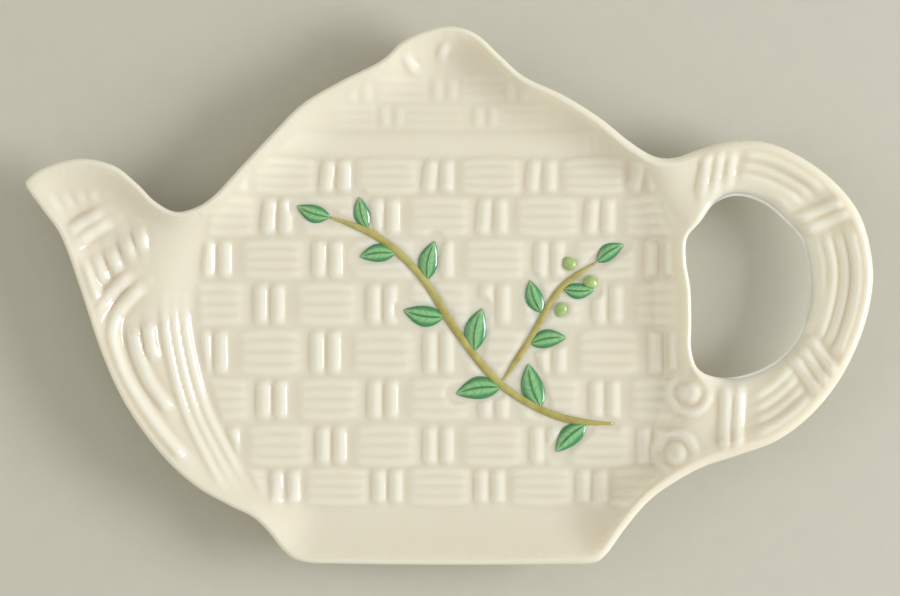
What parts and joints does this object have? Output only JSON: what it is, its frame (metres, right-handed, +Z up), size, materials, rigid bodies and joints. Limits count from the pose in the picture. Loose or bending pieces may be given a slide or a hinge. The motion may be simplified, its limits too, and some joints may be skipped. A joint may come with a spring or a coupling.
{
  "type": "tea bag rest",
  "caption": "Shallow glazed ceramic tray shaped like a teapot in side view, with basket-weave relief, an open ring handle, a foot ring and a painted leafy vine.",
  "frame": {"origin": "middle of the bounding box in plan, on the table under the foot ring", "axes": "+X from the spout to the handle, +Y from the teapot's foot to its knob, +Z up out of the tray"},
  "size_m": [0.14, 0.089, 0.0095],
  "materials": {
    "glazed_clay": "gloss",
    "glazed_relief": "gloss",
    "bare_clay": "matte",
    "leaf_enamel": "gloss",
    "dark_leaf_enamel": "gloss",
    "stem_enamel": "gloss"
  },
  "bodies": {
    "root": {"bowl": "glazed_clay", "foot_ring": "bare_clay", "spout": "glazed_clay", "handle": "glazed_clay", "lid_band": "glazed_relief", "floor_weavers": "glazed_relief", "floor_stakes": "glazed_relief", "wall_weavers": "glazed_relief", "wall_stakes": "glazed_relief", "lid_weavers": "glazed_relief", "lid_stakes": "glazed_relief", "collar_ribs": "glazed_relief", "mouth_ribs": "glazed_relief", "spout_withies": "glazed_relief", "spout_wraps": "glazed_relief", "handle_withies": "glazed_relief", "handle_wraps": "glazed_relief", "scroll_curls": "glazed_relief", "knob_curls": "glazed_relief", "vine_stem": "stem_enamel", "vine_twig": "stem_enamel", "vine_leaves": "leaf_enamel", "leaf_ribs": "dark_leaf_enamel", "vine_buds": "leaf_enamel"}
  },
  "joints": []
}
